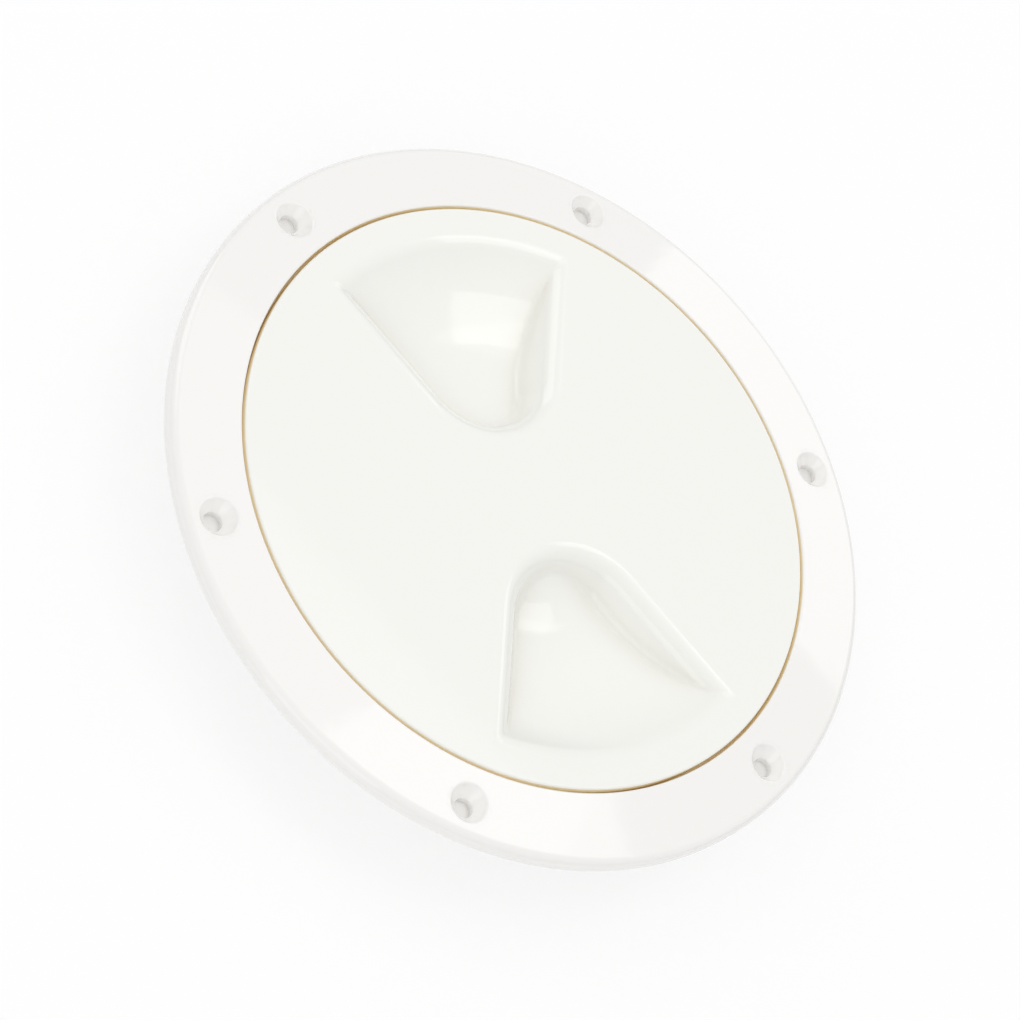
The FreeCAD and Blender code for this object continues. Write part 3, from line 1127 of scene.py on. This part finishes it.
@dataclass
class Studio:
    """Pale floor, plain soft light and the photograph's view."""

    floor_size: float = 6.0
    floor_colour: tuple[float, float, float, float] = rgb(0.97, 0.97, 0.97)
    floor_glow: float = 0.75
    surround: float = 0.855
    horizon: float = 0.2
    horizon_band: tuple[float, float, float, float] = (-0.15, -0.05, 0.12, 0.3)
    azimuth: float = -91.46
    elevation: float = 50.28
    roll: float = 50.02
    distance: float = 0.96897
    aim: tuple[float, float, float] = (-0.15 * MM, -6.1 * MM, 0.73 * MM)
    lens: float = 132.46
    softboxes: tuple[Softbox, ...] = (
        Softbox("overhead_softbox", 92.0, 68.5, 2.0, 1.0, 1.0, 1.7),
        Softbox("window_softbox", 60.5, 62.0, 2.5, 0.83, 0.61, 1.9),
        Softbox("far_softbox", 80.0, 36.0, 3.0, 1.11, 0.68, 2.85),
        Softbox("near_softbox", -80.0, 19.0, 2.5, 1.6, 1.9, 9.5),
        Softbox("left_softbox", 165.0, 35.0, 2.5, 1.02, 1.53, 5.9),
    )

    def add_floor(self, height: float) -> bpy.types.Object:
        """Makes the floor that the plate stands on.

        Args:
            height: Height of the floor.

        Returns:
            The floor's object.
        """
        half = self.floor_size / 2
        mesh = bpy.data.meshes.new("studio_floor")
        corners = [(x, y, height) for x, y in ((-half, -half), (half, -half), (half, half), (-half, half))]
        mesh.from_pydata(corners, [], [(0, 1, 2, 3)])
        floor = bpy.data.objects.new("studio_floor", mesh)
        bpy.context.scene.collection.objects.link(floor)
        shader = Shader(bpy.data.materials.new("studio_floor_finish"))
        seen = shader.node("ShaderNodeLightPath", {}, {}, "Is Camera Ray")
        for ray in ("Is Glossy Ray", "Is Transmission Ray"):
            seen = seen.maths("MAXIMUM", shader.node("ShaderNodeLightPath", {}, {}, ray))
        matt = shader.node("ShaderNodeBsdfDiffuse", {}, {"Color": self.floor_colour})
        glow = shader.node("ShaderNodeEmission", {}, {"Color": rgb(1, 1, 1), "Strength": 1.0})
        mix = shader.node("ShaderNodeMixShader", {}, {0: seen * self.floor_glow, 1: matt, 2: glow})
        mesh.materials.append(shader.finish(mix))
        return floor

    def add_surround(self) -> None:
        """Lights the scene evenly from all round, with a darker band along the horizon."""
        world = bpy.data.worlds.new("studio_surround")
        bpy.context.scene.world = world
        shader = Shader(world, "ShaderNodeOutputWorld")
        upwards = shader.split(shader.node("ShaderNodeTexCoord", {}, {}, "Generated"))[2]
        ramp = shader.node("ShaderNodeValToRGB", {}, {"Fac": upwards * 0.5 + 0.5}, "Color")
        low_end, low_start, high_start, high_end = self.horizon_band
        stops = ramp.socket.node.color_ramp.elements
        stops[0].position, stops[0].color = (1 + low_end) / 2, rgb(1, 1, 1)
        stops[1].position, stops[1].color = (1 + high_end) / 2, rgb(1, 1, 1)
        for height in (low_start, high_start):
            stops.new((1 + height) / 2).color = rgb(0, 0, 0)
        dark, bright = (
            shader.node("ShaderNodeBackground", {}, {"Color": rgb(1, 1, 1), "Strength": strength})
            for strength in (self.horizon, self.surround)
        )
        shader.finish(shader.node("ShaderNodeMixShader", {}, {0: ramp, 1: dark, 2: bright}))

    def add_camera(self) -> bpy.types.Object:
        """Makes the camera at the photograph's viewing angle.

        Returns:
            The camera's object.
        """
        azimuth, elevation = math.radians(self.azimuth), math.radians(self.elevation)
        towards = Vector((
            math.cos(azimuth) * math.cos(elevation),
            math.sin(azimuth) * math.cos(elevation),
            math.sin(elevation),
        ))
        level_right = Vector((-math.sin(azimuth), math.cos(azimuth), 0.0))
        level_up = towards.cross(level_right)
        roll = math.radians(self.roll)
        right = level_right * math.cos(roll) + level_up * math.sin(roll)
        upright = level_up * math.cos(roll) - level_right * math.sin(roll)
        place = Vector(self.aim) + towards * self.distance
        data = bpy.data.cameras.new("photo_view")
        data.lens = self.lens
        data.sensor_width = 36.0
        camera = bpy.data.objects.new("photo_view", data)
        turned = Matrix((right, upright, towards)).transposed().to_4x4()
        turned.translation = place
        camera.matrix_world = turned
        bpy.context.scene.collection.objects.link(camera)
        bpy.context.scene.camera = camera
        return camera

    def build(self, floor_height: float) -> None:
        """Makes floor, lights and camera.

        Args:
            floor_height: Height of the floor.
        """
        self.add_floor(floor_height)
        self.add_surround()
        for softbox in self.softboxes:
            softbox.build()
        self.add_camera()
        bpy.context.scene.view_settings.view_transform = "Standard"


@dataclass
class AccessPlate:
    """The whole plate, dressed piece by piece."""

    lid: ScrewLid = field(default_factory=ScrewLid)
    ring: DeckRing = field(default_factory=DeckRing)
    # Each finish gives its colour, then the painted gap shade colour, the gap's radii and top, and the
    # painted crease shade colour.
    lid_finish: PolishedPlastic = PolishedPlastic(
        "lid_plastic_finish", rgb(0.925, 0.925, 0.885), rgb(0.97, 0.91, 0.75),
        (78.7 * MM, 79.0 * MM, 90 * MM, 91 * MM), 5.6 * MM, rgb(0.80, 0.765, 0.66),
    )
    ring_finish: PolishedPlastic = PolishedPlastic(
        "ring_plastic_finish", rgb(0.92, 0.91, 0.89), rgb(0.98, 0.89, 0.62),
        (79.0 * MM, 79.1 * MM, 83.4 * MM, 83.7 * MM), 5.6 * MM, rgb(0.93, 0.92, 0.90),
    )
    seal_finish: SealRubber = SealRubber()

    def build(self) -> None:
        """Builds and dresses the ring, the lid and the seal."""
        self.dress(self.ring.build(), self.ring_finish.make(), "ring", "deck_ring")
        self.dress(self.lid.build(), self.lid_finish.make(), "lid", "screw_lid")
        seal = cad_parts["o_ring"]
        seal.data.materials.clear()
        seal.data.materials.append(self.seal_finish.make())
        LOG.info("o_ring: %d faces from the frame", len(seal.data.polygons))

    def dress(
        self, piece: bpy.types.Object, finish: bpy.types.Material, body: str, node: str,
    ) -> None:
        """Gives a piece its finish and ties it to the frame.

        Args:
            piece: The piece.
            finish: Its material.
            body: Body that it rides on.
            node: Node that it stands for.
        """
        piece.data.materials.append(finish)
        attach(piece, body)
        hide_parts(node)
        LOG.info("%s: %d faces", piece.name, len(piece.data.polygons))


def main() -> None:
    """Builds the plate and the studio, and notes the sizes."""
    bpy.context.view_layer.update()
    AccessPlate().build()
    Studio().build(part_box("deck_ring")[0].z)
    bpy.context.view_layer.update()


if __name__ == "__main__":
    main()
